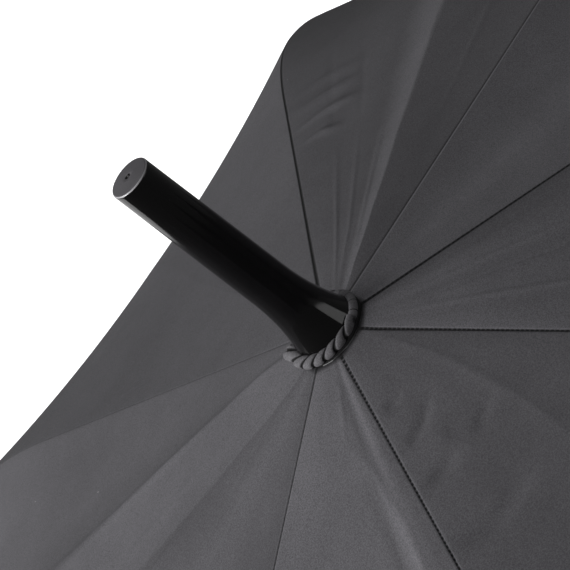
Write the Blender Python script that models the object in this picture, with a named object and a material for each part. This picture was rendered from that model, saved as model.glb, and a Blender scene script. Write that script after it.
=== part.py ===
"""Golf umbrella, standing open on its shaft: +Z runs up the shaft, and Z = 0 is the handle's end face."""

import math

import bmesh
import bpy
from mathutils import Matrix, Vector

MM = 0.001
GAP = 0.3 * MM
FACETS = 24
SMALL_FACETS = 8

# Ribs: straight from the top notch, then bent at the stretcher's clip, each in its own radial plane.
RIB_COUNT = 8
RIB_STEP = 2 * math.pi / RIB_COUNT
RIB_LENGTH = 750 * MM
RIB_RADIUS = 1.7 * MM
RIB_SLOPE_TOP = math.radians(11.5)
RIB_PIECES = (
    (250 * MM, 0.0),
    (370 * MM, math.radians(110)),
    (RIB_LENGTH, math.radians(50)),
)  # where each piece ends along the rib, and its bend in radians for each metre
RIB_STATIONS = [a * MM for a in (125, 250, 275, 300, 325, 350, 375, 450, 525, 600, 675)]
PIVOT_RADIUS = 12 * MM
PIVOT_Z = 950 * MM
EYE_RADIUS = 2.4 * MM
EYE_THICKNESS = 1.6 * MM
ROD_START = 9 * MM
CLOSING_TURN = math.radians(64.5)
TIP_RADIUS = 3 * MM
TIP_LENGTH = 14 * MM

# Stretchers: from a clip on each rib down to the runner.
CLIP_AT = 340 * MM
CLIP_DROP = 6 * MM
CLIP_THICKNESS = 1.4 * MM
CLIP_PIN_RADIUS = 1.0 * MM
STRETCHER_LENGTH = 370 * MM
STRETCHER_WIDTH = 4 * MM
TONGUE_LENGTH = 36 * MM
TONGUE_THICKNESS = 1.6 * MM

# Shaft, notch, runner and ferrule.
SHAFT_RADIUS = 6.4 * MM
SHAFT_WALL = 1.2 * MM
SHAFT_BOTTOM = 12.5 * MM
CROWN_RADIUS = 15.5 * MM
SLOT_WIDTH = 2.4 * MM
WIRE_RADIUS = 0.6 * MM
FERRULE_LENGTH = 100 * MM
FERRULE_Z = PIVOT_Z + 7.4 * MM
RUNNER_TOP = 7 * MM
RUNNER_BOTTOM = -44 * MM
BETWEEN_RIBS = RIB_STEP / 2
WINDOW_LOW = -30 * MM
WINDOW_HIGH = -14 * MM

# Catches that hold the runner up and down, pivoted inside the shaft.
CATCH_LENGTH = 32 * MM
CATCH_OFFSET = 3.7 * MM
CATCH_NOSE = 5 * MM
CATCH_WIDTH = 2.2 * MM
CATCH_PIN_LENGTH = 9.9 * MM
CATCH_SLOT = (17 * MM, 34 * MM)

# Cloth.
CLOTH_THICKNESS = 0.6 * MM
CLOTH_LIFT = 3.4 * MM
HEM_DIP = 22 * MM

# Closing strap, which lies on the cloth beside one rib.
STRAP_BESIDE = 40 * MM
STRAP_RIB = 4
STRAP_START = 575 * MM
STRAP_END = 725 * MM
STRAP_WIDTH = 22 * MM
STRAP_THICKNESS = 1.0 * MM
STRAP_ROWS = 6
TAB_LENGTH = 30 * MM

# Handle.
HANDLE_TOP = 180 * MM
CORE_RADIUS = 10.5 * MM
HANDLE_PIN_Z = 150 * MM


def remove_old_objects():
    for old in list(bpy.data.objects):
        bpy.data.objects.remove(old)


def material(name, color, roughness, metallic=0.0):
    made = bpy.data.materials.new(name)
    made.use_nodes = True
    shader = made.node_tree.nodes["Principled BSDF"]
    shader.inputs["Base Color"].default_value = (*color, 1)
    shader.inputs["Roughness"].default_value = roughness
    shader.inputs["Metallic"].default_value = metallic
    return made


def build_materials():
    return {
        "ferrule_plastic": material("ferrule_plastic", (0.012, 0.012, 0.013), 0.15),
        "black_plastic": material("black_plastic", (0.02, 0.02, 0.022), 0.4),
        "cloth": material("cloth", (0.085, 0.085, 0.092), 0.8),
        "rosette_cloth": material("rosette_cloth", (0.05, 0.05, 0.055), 0.75),
        "fibreglass": material("fibreglass", (0.03, 0.03, 0.033), 0.35),
        "steel": material("steel", (0.55, 0.55, 0.56), 0.3, 1.0),
        "painted_steel": material("painted_steel", (0.03, 0.03, 0.032), 0.35, 0.6),
        "grip_foam": material("grip_foam", (0.03, 0.03, 0.03), 0.85),
    }


def mesh_object(name, bm, finish=None, smooth_angle=None):
    """Turns a bmesh into a linked object, with its faces pointing out."""
    bmesh.ops.recalc_face_normals(bm, faces=bm.faces)
    mesh = bpy.data.meshes.new(name)
    bm.to_mesh(mesh)
    bm.free()
    made = bpy.data.objects.new(name, mesh)
    bpy.context.scene.collection.objects.link(made)
    if finish is not None:
        mesh.materials.append(finish)
    if smooth_angle is not None:
        mesh.shade_smooth()
        mesh.set_sharp_from_angle(angle=math.radians(smooth_angle))
    return made


def turned(profile, segments):
    """A solid of revolution about Z. The profile is a closed outline of (radius, z); a radius of 0 is on the axis."""
    bm = bmesh.new()
    rings = []
    for radius, z in profile:
        if radius == 0:
            rings.append([bm.verts.new((0, 0, z))] * segments)
            continue
        turns = [2 * math.pi * i / segments for i in range(segments)]
        rings.append([bm.verts.new((radius * math.cos(t), radius * math.sin(t), z)) for t in turns])
    for ring, other in zip(rings, rings[1:] + rings[:1]):
        for i in range(segments):
            j = (i + 1) % segments
            corners = []
            for corner in (ring[i], ring[j], other[j], other[i]):
                if corner not in corners:
                    corners.append(corner)
            if len(corners) > 2:
                bm.faces.new(corners)
    return bm


def plate(outline, thickness):
    """A flat plate in the XZ plane, centred on Y = 0. The outline is a list of (x, z)."""
    bm = bmesh.new()
    face = bm.faces.new([bm.verts.new((x, -thickness / 2, z)) for x, z in outline])
    extruded = bmesh.ops.extrude_face_region(bm, geom=[face])
    far_side = [item for item in extruded["geom"] if isinstance(item, bmesh.types.BMVert)]
    bmesh.ops.translate(bm, verts=far_side, vec=(0, thickness, 0))
    return bm


def arc(center, radius, start, end, steps):
    """Points (x, z) along an arc; the angles are in degrees from +X towards +Z."""
    angles = [math.radians(start + (end - start) * i / steps) for i in range(steps + 1)]
    return [(center[0] + radius * math.cos(a), center[1] + radius * math.sin(a)) for a in angles]


def cylinder(radius, length, segments, direction="Z"):
    """A cylinder centred on the origin, along one axis."""
    turn = {
        "X": Matrix.Rotation(math.pi / 2, 4, "Y"),
        "Y": Matrix.Rotation(math.pi / 2, 4, "X"),
        "Z": Matrix.Identity(4),
    }[direction]
    bm = bmesh.new()
    bmesh.ops.create_cone(
        bm,
        cap_ends=True,
        segments=segments,
        radius1=radius,
        radius2=radius,
        depth=length,
        matrix=turn,
    )
    return bm


def box(low, high):
    bm = bmesh.new()
    size = Vector(high) - Vector(low)
    middle = (Vector(high) + Vector(low)) / 2
    bmesh.ops.create_cube(bm, size=1, matrix=Matrix.Translation(middle) @ Matrix.Diagonal((*size, 1)))
    return bm


def torus(major, minor, around, across):
    outline = arc((major, 0), minor, 0, 360 - 360 / across, across - 1)
    return turned(outline, around)


def moved(bm, matrix):
    bmesh.ops.transform(bm, matrix=matrix, verts=bm.verts)
    return bm


def merged(parts):
    """Several bmeshes as one, for a cutter with many teeth."""
    whole = bmesh.new()
    scratch = bpy.data.meshes.new("scratch")
    for part in parts:
        part.to_mesh(scratch)
        part.free()
        whole.from_mesh(scratch)
    bpy.data.meshes.remove(scratch)
    return whole


def combine(target, tool_bm, operation):
    """Joins or cuts target with a bmesh, and keeps the result as its mesh."""
    tool = mesh_object("tool", tool_bm)
    modifier = target.modifiers.new(operation, "BOOLEAN")
    modifier.operation = operation
    modifier.solver = "EXACT"
    modifier.object = tool
    graph = bpy.context.evaluated_depsgraph_get()
    result = bpy.data.meshes.new_from_object(target.evaluated_get(graph))
    target.modifiers.clear()
    target.data = result
    bpy.data.objects.remove(tool)


def finish_piece(made, name, finish, smooth_angle=40):
    made.name = name
    made.data.name = name
    made.data.materials.clear()
    made.data.materials.append(finish)
    made.data.shade_smooth()
    made.data.set_sharp_from_angle(angle=math.radians(smooth_angle))
    return made


def copy_of(source, name):
    """Another object with the same mesh."""
    made = source.copy()
    made.name = name
    bpy.context.scene.collection.objects.link(made)
    return made


def rib_trace(along):
    """(x, z, slope) of the rib's centre line, from its pivot."""
    slope = RIB_SLOPE_TOP
    x = z = start = 0.0
    for end, bend in RIB_PIECES:
        length = min(along, end) - start
        if length <= 0:
            break
        turn = bend * length
        if bend:
            x += (math.sin(slope + turn) - math.sin(slope)) / bend
            z += (math.cos(slope + turn) - math.cos(slope)) / bend
        else:
            x += length * math.cos(slope)
            z -= length * math.sin(slope)
        slope += turn
        start = end
    return x, z, slope


def rib_point(along, lift=0.0):
    """(x, z) from the rib's pivot to a point on it, raised by lift square to the rib."""
    x, z, slope = rib_trace(along)
    return x + lift * math.sin(slope), z + lift * math.cos(slope)


def rib_frame(along, lift=0.0):
    """A matrix at a point of the rib whose X runs along it towards the hem."""
    x, z = rib_point(along, lift)
    return Matrix.Translation((x, 0, z)) @ Matrix.Rotation(rib_trace(along)[2], 4, "Y")


def stations(start, end):
    """Places along the rib where the rod and the cloth both have a row of corners."""
    return [start] + [a for a in RIB_STATIONS if start < a < end] + [end]


def clip_pivot():
    return rib_point(CLIP_AT, -CLIP_DROP)


def runner_drop():
    """Height of the runner's pivots below the ribs' pivots, with the umbrella open."""
    x, z = clip_pivot()
    return math.sqrt(STRETCHER_LENGTH**2 - x**2) - z


def stretcher_turn():
    """The stretcher's direction when open, as a turn about +Y that carries +X onto it."""
    x, z = clip_pivot()
    return math.atan2(z + runner_drop(), -x)


def rod(start, end, radius, sides):
    """A round rod along the rib's line."""
    bm = bmesh.new()
    rings = []
    for along in stations(start, end):
        frame = rib_frame(along)
        turns = [2 * math.pi * (j + 0.5) / sides for j in range(sides)]
        places = [frame @ Vector((0, radius * math.cos(t), radius * math.sin(t))) for t in turns]
        rings.append([bm.verts.new(place) for place in places])
    for ring, other in zip(rings, rings[1:]):
        for j in range(sides):
            k = (j + 1) % sides
            bm.faces.new((ring[j], ring[k], other[k], other[j]))
    bm.faces.new(rings[0])
    bm.faces.new(rings[-1])
    return bm


def rib(finish):
    """Rod, flat eye at the notch, and the clip with its pin that carries the stretcher."""
    made = mesh_object("rib", rod(ROD_START, RIB_LENGTH, RIB_RADIUS, 6))
    half = 1.5 * MM
    eye = arc((0, 0), EYE_RADIUS, 40, 320, 7) + [(14 * MM, -half), (14 * MM, half)]
    slope = Matrix.Rotation(RIB_SLOPE_TOP, 4, "Y")
    combine(made, moved(plate(eye, EYE_THICKNESS), slope), "UNION")
    combine(made, cylinder(WIRE_RADIUS + GAP, 5 * MM, SMALL_FACETS, "Y"), "DIFFERENCE")
    at_clip = rib_frame(CLIP_AT)
    combine(made, moved(cylinder(2.5 * MM, 14 * MM, SMALL_FACETS, "X"), at_clip), "UNION")
    lug = arc((0, -CLIP_DROP), 2.2 * MM, 180, 360, 5) + [(3.4 * MM, -1.2 * MM), (-3.4 * MM, -1.2 * MM)]
    combine(made, moved(plate(lug, CLIP_THICKNESS), at_clip), "UNION")
    pin = moved(cylinder(CLIP_PIN_RADIUS, 4.6 * MM, SMALL_FACETS, "Y"), rib_frame(CLIP_AT, -CLIP_DROP))
    combine(made, pin, "UNION")
    return finish_piece(made, "rib_1", finish)


def rib_tip(finish):
    """Moulded cap on the rib's end, with the shoulder that the hem is sewn to."""
    hole = RIB_RADIUS + GAP
    profile = [
        (hole, 0),
        (2.4 * MM, 0),
        (2.4 * MM, 6 * MM),
        (TIP_RADIUS, 7 * MM),
        (TIP_RADIUS, 12 * MM),
        (2.2 * MM, TIP_LENGTH),
        (0, TIP_LENGTH + 0.6 * MM),
        (0, 9 * MM),
        (hole, 9 * MM),
    ]
    bm = turned(profile, SMALL_FACETS)
    start = RIB_LENGTH - 8 * MM
    outward = Matrix.Rotation(math.pi / 2, 4, "Y")
    moved(bm, rib_frame(start) @ outward)
    return mesh_object("rib_tip_1", bm, finish, 40)


def stretcher(finish):
    """Channel with a fork at the rib's clip and a flat tongue for the runner's slot."""
    half = STRETCHER_WIDTH / 2
    end = STRETCHER_LENGTH
    step = end - TONGUE_LENGTH
    bar = arc((0, 0), half, 90, 270, 6) + [(step, -half), (step, half)]
    made = mesh_object("stretcher", plate(bar, STRETCHER_WIDTH))
    inner = half - 0.4 * MM
    tongue = arc((end, 0), 2.2 * MM, -60, 60, 5) + [(step - 8 * MM, inner), (step - 8 * MM, -inner)]
    combine(made, plate(tongue, TONGUE_THICKNESS), "UNION")
    fork = CLIP_THICKNESS / 2 + GAP
    combine(made, box((-6 * MM, -fork, -4 * MM), (7 * MM, fork, 4 * MM)), "DIFFERENCE")
    combine(made, cylinder(CLIP_PIN_RADIUS + GAP, 8 * MM, SMALL_FACETS, "Y"), "DIFFERENCE")
    channel = box((14 * MM, -1.1 * MM, -0.8 * MM), (step - 12 * MM, 1.1 * MM, 4 * MM))
    combine(made, channel, "DIFFERENCE")
    return finish_piece(made, "stretcher_1", finish)


def cloth_point(along, across, lift):
    """A point of the canopy round one rib. across is -1 to 1, from one panel's middle to the other's."""
    x, z = rib_point(along, lift)
    radius = PIVOT_RADIUS + x
    x -= radius * abs(across) * (1 - math.cos(RIB_STEP)) / 2
    y = radius * across * math.sin(RIB_STEP) / 2
    return Vector((x, y, z))


def cloth_solid(name, finish, rows, columns, place):
    """A thin closed solid. rows are shares along it, and place(row, column share, is_top) gives each corner."""
    bm = bmesh.new()
    layers = []
    for is_top in (False, True):
        grid = []
        for row in rows:
            shares = [j / columns for j in range(columns + 1)]
            grid.append([bm.verts.new(place(row, share, is_top)) for share in shares])
        layers.append(grid)
    last = len(rows) - 1
    for grid in layers:
        for i in range(last):
            for j in range(columns):
                bm.faces.new((grid[i][j], grid[i][j + 1], grid[i + 1][j + 1], grid[i + 1][j]))
    low, high = layers
    edge = [(0, j) for j in range(columns)]
    edge += [(i, columns) for i in range(last)]
    edge += [(last, columns - j) for j in range(columns)]
    edge += [(last - i, 0) for i in range(last)]
    for (i, j), (m, n) in zip(edge, edge[1:] + edge[:1]):
        bm.faces.new((low[i][j], low[m][n], high[m][n], high[i][j]))
    return mesh_object(name, bm, finish, 60)


def canopy_sector(finish):
    """The cloth that one rib carries, from panel middle to panel middle."""
    start = 5 * MM
    end = RIB_LENGTH - 10 * MM

    def place(row, column, is_top):
        across = 2 * column - 1
        along = start + row * (end - HEM_DIP * across**2 - start)
        radius = PIVOT_RADIUS + rib_point(along)[0]
        across *= 1 - GAP / (radius * math.sin(RIB_STEP))
        return cloth_point(along, across, CLOTH_LIFT + CLOTH_THICKNESS * is_top)

    rows = [(a - start) / (end - start) for a in stations(start, end)]
    return cloth_solid("canopy_sector_1", finish, rows, 4, place)


def strap_solid(name, finish, start, end, width, lift, thickness):
    """A band that lies on the cloth beside a rib and runs towards the hem."""

    def place(row, column, is_top):
        along = start + row * (end - start)
        radius = PIVOT_RADIUS + rib_point(along)[0]
        beside = STRAP_BESIDE + (column - 0.5) * width
        across = beside / (radius * math.sin(RIB_STEP) / 2)
        return cloth_point(along, across, lift + thickness * is_top)

    return cloth_solid(name, finish, [i / STRAP_ROWS for i in range(STRAP_ROWS + 1)], 1, place)


def teeth_slots(inner, low, high):
    """Eight radial slots, open outwards."""
    cuts = []
    for i in range(RIB_COUNT):
        cut = box((inner, -SLOT_WIDTH / 2, low), (20 * MM, SLOT_WIDTH / 2, high))
        cuts.append(moved(cut, Matrix.Rotation(i * RIB_STEP, 4, "Z")))
    return merged(cuts)


def at_between(bm, z=0.0):
    """Turns a radial tool to the bearing midway between two ribs."""
    return moved(bm, Matrix.Translation((0, 0, z)) @ Matrix.Rotation(BETWEEN_RIBS, 4, "Z"))


def top_notch(finish):
    bore = SHAFT_RADIUS + GAP
    profile = [
        (bore, -6 * MM),
        (14.3 * MM, -6 * MM),
        (CROWN_RADIUS, -4.8 * MM),
        (CROWN_RADIUS, 2.8 * MM),
        (14.3 * MM, 4 * MM),
        (bore, 4 * MM),
    ]
    made = mesh_object("notch", turned(profile, FACETS))
    combine(made, teeth_slots(9 * MM, -10 * MM, 2.9 * MM), "DIFFERENCE")
    combine(made, torus(PIVOT_RADIUS, WIRE_RADIUS + GAP, FACETS, 6), "DIFFERENCE")
    pin_hole = at_between(cylinder(1.3 * MM, 40 * MM, SMALL_FACETS, "X"), -3.5 * MM)
    combine(made, pin_hole, "DIFFERENCE")
    return finish_piece(made, "top_notch", finish)


def runner(finish):
    """Slotted flange, sleeve with the lower catch's window, and a finger ring."""
    bore = SHAFT_RADIUS + 0.4 * MM
    sleeve = 8.8 * MM
    flange = 5 * MM
    profile = [
        (bore, RUNNER_BOTTOM),
        (11 * MM, RUNNER_BOTTOM),
        (11.6 * MM, RUNNER_BOTTOM + 1 * MM),
        (11.6 * MM, RUNNER_BOTTOM + 6 * MM),
        (sleeve, RUNNER_BOTTOM + 9 * MM),
        (sleeve, -flange),
        (14.5 * MM, -flange),
        (CROWN_RADIUS, -flange + 1 * MM),
        (CROWN_RADIUS, flange - 1 * MM),
        (14.5 * MM, flange),
        (10 * MM, flange),
        (sleeve, RUNNER_TOP),
        (bore, RUNNER_TOP),
    ]
    made = mesh_object("runner", turned(profile, FACETS))
    combine(made, teeth_slots(9.2 * MM, -12 * MM, 12 * MM), "DIFFERENCE")
    half = CATCH_WIDTH / 2 + 0.6 * MM
    window = box((5 * MM, -half, WINDOW_LOW), (12 * MM, half, WINDOW_HIGH))
    combine(made, at_between(window), "DIFFERENCE")
    return finish_piece(made, "runner", finish)


def catch(name, finish, facing):
    """Leaf with a ramped nose. facing is 1 with the pivot below the nose, or -1 above it."""
    outline = [
        (-1 * MM, -2.5 * MM),
        (1 * MM, -2.5 * MM),
        (1 * MM, 20 * MM),
        (CATCH_NOSE, 29 * MM),
        (CATCH_NOSE, CATCH_LENGTH),
        (-1 * MM, CATCH_LENGTH),
    ]
    made = mesh_object(name, plate([(x, z * facing) for x, z in outline], CATCH_WIDTH))
    combine(made, cylinder(WIRE_RADIUS + GAP, 5 * MM, SMALL_FACETS, "Y"), "DIFFERENCE")
    return finish_piece(made, name, finish)


def shaft(finish, top, levels):
    """Tube with a slot and a pin hole for each catch, and holes for the notch, stop and handle pins."""
    inner = SHAFT_RADIUS - SHAFT_WALL
    profile = [(inner, SHAFT_BOTTOM), (SHAFT_RADIUS, SHAFT_BOTTOM), (SHAFT_RADIUS, top), (inner, top)]
    made = mesh_object("shaft", turned(profile, FACETS))
    for level, facing in levels["catches"]:
        low, high = sorted(level + edge * facing for edge in CATCH_SLOT)
        half = CATCH_WIDTH / 2 + 0.4 * MM
        combine(made, at_between(box((3 * MM, -half, low), (9 * MM, half, high))), "DIFFERENCE")
        hole = cylinder(WIRE_RADIUS + GAP, 30 * MM, SMALL_FACETS, "Y")
        combine(made, at_between(moved(hole, Matrix.Translation((CATCH_OFFSET, 0, level)))), "DIFFERENCE")
    for level, radius in levels["pins"]:
        hole = at_between(cylinder(radius + GAP, 40 * MM, SMALL_FACETS, "X"), level)
        combine(made, hole, "DIFFERENCE")
    return finish_piece(made, "shaft", finish)


def cross_pin(name, finish, radius, length, level):
    made = mesh_object(name, cylinder(radius, length, SMALL_FACETS, "X"), finish, 40)
    made.location = (0, 0, level)
    made.rotation_euler = (0, 0, BETWEEN_RIBS)
    return made


def catch_pin(name, finish, level):
    pin = cylinder(WIRE_RADIUS, CATCH_PIN_LENGTH, SMALL_FACETS, "Y")
    bm = moved(pin, Matrix.Translation((CATCH_OFFSET, 0, 0)))
    made = mesh_object(name, bm, finish, 40)
    made.location = (0, 0, level)
    made.rotation_euler = (0, 0, BETWEEN_RIBS)
    return made


def ferrule(finish):
    """Long cap over the shaft's end: nearly straight, flared at the foot, with a slightly domed end."""
    bore = SHAFT_RADIUS + GAP
    top = FERRULE_LENGTH
    angles = [math.radians(a) for a in (25, 45, 65, 90)]
    flare = [(11.6 - 3.0 * math.sin(a), 26 * (1 - math.cos(a))) for a in angles]
    profile = [(bore, 0), (11.1 * MM, 0), (11.5 * MM, 0.5 * MM), (11.4 * MM, 1.4 * MM)]
    profile += [(r * MM, z * MM) for r, z in flare]
    edge = 0.7 * MM
    profile += arc((7.9 * MM - edge, top - 0.5 * MM - edge), edge, 0, 90, 2)
    profile += [(4 * MM, top - 0.15 * MM), (0, top), (0, top - 3 * MM), (bore, top - 3 * MM)]
    return mesh_object("ferrule", turned(profile, FACETS), finish, 40)


def rosette(finish):
    """Ring of gathered cloth round the ferrule's foot, with slanted pleats."""
    pleats = 18
    across = 6
    bm = bmesh.new()
    rings = []
    steps = pleats * 2
    for i in range(steps):
        turn = 2 * math.pi * i / steps
        ring = []
        for j in range(across):
            angle = 2 * math.pi * j / across
            ridge = 0.45 * MM * math.cos(pleats * turn + 1.2 * math.sin(angle))
            reach = 2.1 * MM + ridge
            radius = 14.2 * MM + reach * math.cos(angle)
            place = (radius * math.cos(turn), radius * math.sin(turn), reach * 0.62 * math.sin(angle))
            ring.append(bm.verts.new(place))
        rings.append(ring)
    for ring, other in zip(rings, rings[1:] + rings[:1]):
        for j in range(across):
            k = (j + 1) % across
            bm.faces.new((ring[j], ring[k], other[k], other[j]))
    return mesh_object("rosette", bm, finish, 80)


def disc(name, finish, inner, outer, low, high):
    profile = [(inner, low), (outer, low), (outer, high), (inner, high)]
    return mesh_object(name, turned(profile, FACETS), finish, 40)


def canopy_crown(finish):
    """The sewn middle of the canopy: flat over the notch, turned down at its edge."""
    bore = SHAFT_RADIUS + GAP
    top = 5.9 * MM
    thick = CLOTH_THICKNESS
    profile = [
        (bore, top - thick),
        (14.6 * MM, top - thick),
        (16.2 * MM, 4.0 * MM),
        (16.8 * MM, 4.4 * MM),
        (15 * MM, top),
        (bore, top),
    ]
    return mesh_object("canopy_crown", turned(profile, FACETS), finish, 40)


def handle(finishes):
    """Core, soft grip, collar and end cap."""
    bore = SHAFT_RADIUS + GAP
    black = finishes["black_plastic"]
    low = 12 * MM
    core = disc("handle_core", black, bore, CORE_RADIUS, low + GAP, HANDLE_TOP)
    combine(core, at_between(cylinder(1.8 * MM, 40 * MM, SMALL_FACETS, "X"), HANDLE_PIN_Z), "DIFFERENCE")
    finish_piece(core, "handle_core", black)
    inner = CORE_RADIUS + GAP
    outside = [(15.2, 12.3), (16.8, 17), (17.2, 30), (16.2, 60), (15.4, 95), (15.8, 130), (16.4, 160), (15.2, 180)]
    profile = [(r * MM, z * MM) for r, z in outside] + [(inner, HANDLE_TOP), (inner, 12.3 * MM)]
    mesh_object("grip", turned(profile, FACETS), finishes["grip_foam"], 40)
    top = HANDLE_TOP + GAP
    profile = [
        (bore, top),
        (15 * MM, top),
        (15 * MM, top + 3 * MM),
        (11 * MM, top + 9 * MM),
        (9 * MM, top + 12 * MM),
        (bore, top + 12 * MM),
    ]
    mesh_object("handle_collar", turned(profile, FACETS), black, 30)
    spigot = SHAFT_RADIUS - SHAFT_WALL - GAP
    profile = [
        (0, 0),
        (13.4 * MM, 0),
        (14.8 * MM, 0.6 * MM),
        (15.6 * MM, 3 * MM),
        (15.6 * MM, 10.5 * MM),
        (15 * MM, low),
        (spigot, low),
        (spigot, 30 * MM),
        (0, 30 * MM),
    ]
    mesh_object("end_cap", turned(profile, FACETS), black, 30)


def closed_drop():
    """Height of the runner's pivots below the ribs' pivots, with the umbrella closed."""
    turn = CLOSING_TURN
    x, z = clip_pivot()
    folded_x = x * math.cos(turn) + z * math.sin(turn)
    folded_z = -x * math.sin(turn) + z * math.cos(turn)
    return math.sqrt(STRETCHER_LENGTH**2 - folded_x**2) - folded_z


def build_rib_sets(finishes):
    """Eight ribs, each with its tip, cloth and stretcher in the rib's own frame."""
    first = {
        "rib": rib(finishes["fibreglass"]),
        "rib_tip": rib_tip(finishes["black_plastic"]),
        "canopy_sector": canopy_sector(finishes["cloth"]),
        "stretcher": stretcher(finishes["painted_steel"]),
    }
    x, z = clip_pivot()
    for i in range(RIB_COUNT):
        bearing = i * RIB_STEP
        made = {k: first[k] if i == 0 else copy_of(first[k], f"{k}_{i + 1}") for k in first}
        carrier = made["rib"]
        pivot = (PIVOT_RADIUS * math.cos(bearing), PIVOT_RADIUS * math.sin(bearing), PIVOT_Z)
        carrier.location = pivot
        carrier.rotation_euler = (0, 0, bearing)
        for key in ("rib_tip", "canopy_sector", "stretcher"):
            made[key].parent = carrier
        made["stretcher"].location = (x, 0, z)
        made["stretcher"].rotation_euler = (0, stretcher_turn(), 0)
        if i + 1 == STRAP_RIB:
            build_strap(finishes, carrier)


def build_strap(finishes, carrier):
    """Closing strap, sewn to the cloth at its upper end, with a hook tab and a loop tab."""
    lift = CLOTH_LIFT + CLOTH_THICKNESS + GAP
    over = lift + STRAP_THICKNESS + GAP
    cloth = finishes["cloth"]
    black = finishes["black_plastic"]
    pieces = [
        strap_solid("tie_strap", cloth, STRAP_START, STRAP_END, STRAP_WIDTH, lift, STRAP_THICKNESS),
        strap_solid("tie_hook_tab", black, STRAP_END - TAB_LENGTH, STRAP_END - 2 * MM, 18 * MM, over, 1 * MM),
        strap_solid("tie_loop_tab", black, STRAP_START + 2 * MM, STRAP_START + TAB_LENGTH, 18 * MM, over, 1 * MM),
    ]
    for piece in pieces:
        piece.parent = carrier


def build_shaft_line(finishes):
    """Everything that stands on the shaft."""
    steel = finishes["steel"]
    black = finishes["black_plastic"]
    runner_z = PIVOT_Z - runner_drop()
    top_level = runner_z + RUNNER_BOTTOM - GAP - CATCH_LENGTH
    low_level = PIVOT_Z - closed_drop() + WINDOW_LOW + 2 * MM + CATCH_LENGTH
    stop_z = runner_z + RUNNER_TOP + 1.5 * MM
    notch_pin_z = PIVOT_Z - 3.5 * MM
    levels = {
        "catches": [(top_level, 1), (low_level, -1)],
        "pins": [(notch_pin_z, 1 * MM), (stop_z, 1.2 * MM), (HANDLE_PIN_Z, 1.5 * MM)],
    }
    shaft(finishes["painted_steel"], FERRULE_Z + 80 * MM, levels)
    for name, (level, facing) in zip(("top_catch", "bottom_catch"), levels["catches"]):
        leaf = catch(name, steel, facing)
        reach = Vector((CATCH_OFFSET, 0, 0))
        reach.rotate(Matrix.Rotation(BETWEEN_RIBS, 4, "Z"))
        leaf.location = (reach.x, reach.y, level)
        leaf.rotation_euler = (0, 0, BETWEEN_RIBS)
        catch_pin(f"{name}_pin", steel, level)
    cross_pin("notch_pin", steel, 1 * MM, 29 * MM, notch_pin_z)
    cross_pin("stop_pin", steel, 1.2 * MM, 19 * MM, stop_z)
    cross_pin("handle_pin", steel, 1.5 * MM, 20 * MM, HANDLE_PIN_Z)
    sliding = runner(black)
    sliding.location = (0, 0, runner_z)
    notch = top_notch(black)
    wire = mesh_object("notch_wire", torus(PIVOT_RADIUS, WIRE_RADIUS, FACETS, 6), steel, 80)
    washer = disc("crown_washer", black, SHAFT_RADIUS + GAP, 14 * MM, 4.3 * MM, 5 * MM)
    crown = canopy_crown(finishes["cloth"])
    for piece in (notch, wire, washer, crown):
        piece.location = (0, 0, PIVOT_Z)
    ruffle = rosette(finishes["rosette_cloth"])
    ruffle.location = (0, 0, FERRULE_Z + 0.4 * MM)
    cap = ferrule(finishes["ferrule_plastic"])
    cap.location = (0, 0, FERRULE_Z)


def main():
    remove_old_objects()
    finishes = build_materials()
    build_rib_sets(finishes)
    build_shaft_line(finishes)
    handle(finishes)


main()
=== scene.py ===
"""Golf umbrella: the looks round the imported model, in metres and in its frame."""

import math

import bmesh
import bpy
import numpy as np
from mathutils import Matrix, Vector


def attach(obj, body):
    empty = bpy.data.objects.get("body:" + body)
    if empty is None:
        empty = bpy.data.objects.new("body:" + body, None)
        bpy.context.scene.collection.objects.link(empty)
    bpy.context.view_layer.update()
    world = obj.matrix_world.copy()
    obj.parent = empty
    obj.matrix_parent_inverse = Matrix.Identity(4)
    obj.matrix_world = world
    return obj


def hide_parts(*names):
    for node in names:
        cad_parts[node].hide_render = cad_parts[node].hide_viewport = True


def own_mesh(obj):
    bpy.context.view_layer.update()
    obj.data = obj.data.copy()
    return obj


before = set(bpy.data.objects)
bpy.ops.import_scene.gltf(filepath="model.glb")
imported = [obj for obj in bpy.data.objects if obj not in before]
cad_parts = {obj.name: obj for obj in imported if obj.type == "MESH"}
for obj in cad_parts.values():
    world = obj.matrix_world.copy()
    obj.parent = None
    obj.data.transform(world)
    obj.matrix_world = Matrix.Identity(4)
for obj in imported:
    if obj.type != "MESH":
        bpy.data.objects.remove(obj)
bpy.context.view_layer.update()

MM = 0.001
TAU = 2 * math.pi

# The canopy's driving sizes, as the CAD has them.
RIBS = 8
STEP = TAU / RIBS
RIB_LENGTH = 0.750
SLOPE_TOP = math.radians(11.5)
RIB_PIECES = ((0.250, 0.0), (0.370, math.radians(110)), (RIB_LENGTH + 0.02, math.radians(50)))
PIVOT_R = 0.012
PIVOT_Z = 0.950
FERRULE_Z = PIVOT_Z + 7.4 * MM
CLOTH_LIFT = 3.8 * MM
HEM_DIP = 0.022

# The closing strap, which lies on the cloth beside its rib.
STRAP_RIB = 4
STRAP_BESIDE = 40 * MM
STRAP_START = 0.575
STRAP_END = 0.725
STRAP_WIDTH = 22 * MM

# Camera.
CAMERA_DISTANCE = 0.90
CAMERA_ELEVATION = math.radians(30.95)
CAMERA_AZIMUTH = math.radians(180 - 163.15)
CAMERA_ROLL = math.radians(-52.53)
FOCAL_PIXELS = 2413
FRAME_PIXELS = 570
AIM_PIXEL = (323.4, 326.4)
SENSOR_WIDTH = 36


def link(made):
    bpy.context.scene.collection.objects.link(made)
    return made


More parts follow.
